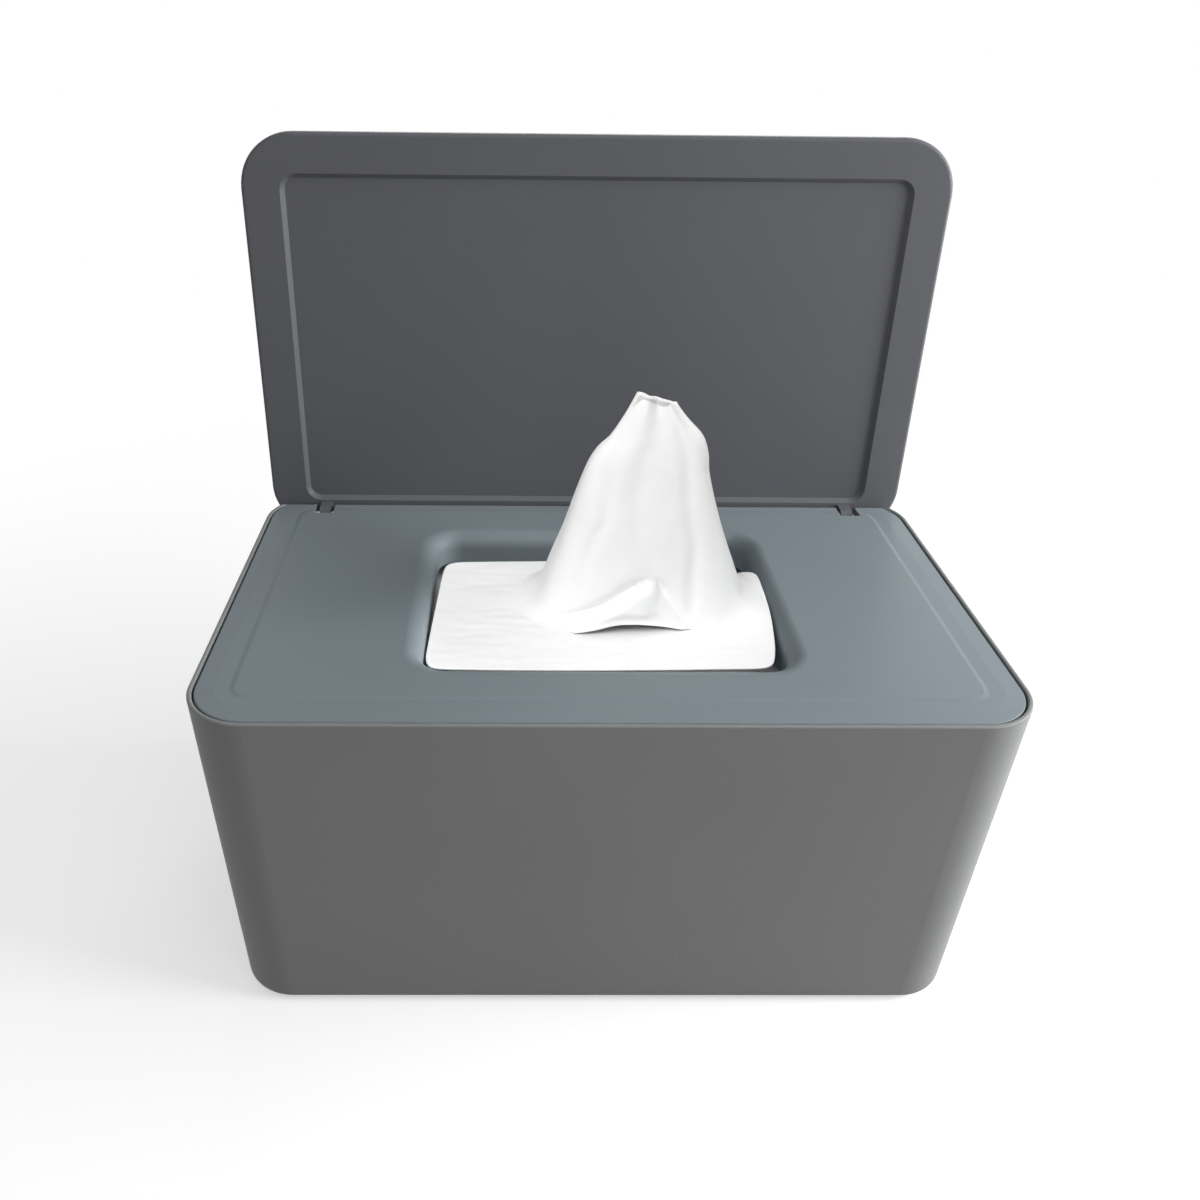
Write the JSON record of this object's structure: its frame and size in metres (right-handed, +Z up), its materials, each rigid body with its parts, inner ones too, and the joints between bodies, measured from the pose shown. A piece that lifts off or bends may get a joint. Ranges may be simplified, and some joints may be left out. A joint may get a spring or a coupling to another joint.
{
  "type": "wipes dispenser",
  "caption": "Free-standing box for wet wipes: tapered body, drop-in top plate with a mouth, flat hinged lid standing open, and a wipe pulled up through the mouth.",
  "frame": {"origin": "centre of the footprint on the surface that the box stands on, under the foot pads", "axes": "+X along the width, to the right as the user sees it; +Y to the rear, where the lid is hinged; +Z up"},
  "size_m": [0.19, 0.116, 0.196],
  "materials": {
    "body_plastic": "fine matte, moulded",
    "plate_plastic": "fine matte, moulded",
    "lid_plastic": "fine matte, moulded",
    "gasket_rubber": "soft silicone",
    "foot_rubber": "soft non-slip",
    "pin_steel": "drawn wire",
    "wipe_cloth": "moist nonwoven"
  },
  "bodies": {
    "box": {"body_shell": "body_plastic", "foot_pad_front_left": "foot_rubber", "foot_pad_front_right": "foot_rubber", "foot_pad_rear_left": "foot_rubber", "foot_pad_rear_right": "foot_rubber", "wipe_stack": "wipe_cloth", "raised_wipe": "wipe_cloth"},
    "plate": {"top_plate": "plate_plastic", "plate_gasket": "gasket_rubber", "hinge_pin_left": "pin_steel", "hinge_pin_right": "pin_steel"},
    "lid": {"lid": "lid_plastic"}
  },
  "joints": [
    {"name": "plate_lift", "type": "slide", "parent": "box", "child": "plate", "axis": [0, 0, 1], "range_m": [0, 0.1]},
    {"name": "lid_hinge", "type": "hinge", "parent": "plate", "child": "lid", "pos_m": [0, 0.05085, 0.08755], "axis": [1, 0, 0], "range_deg": [0, 90], "deforming": ["raised_wipe"]}
  ]
}
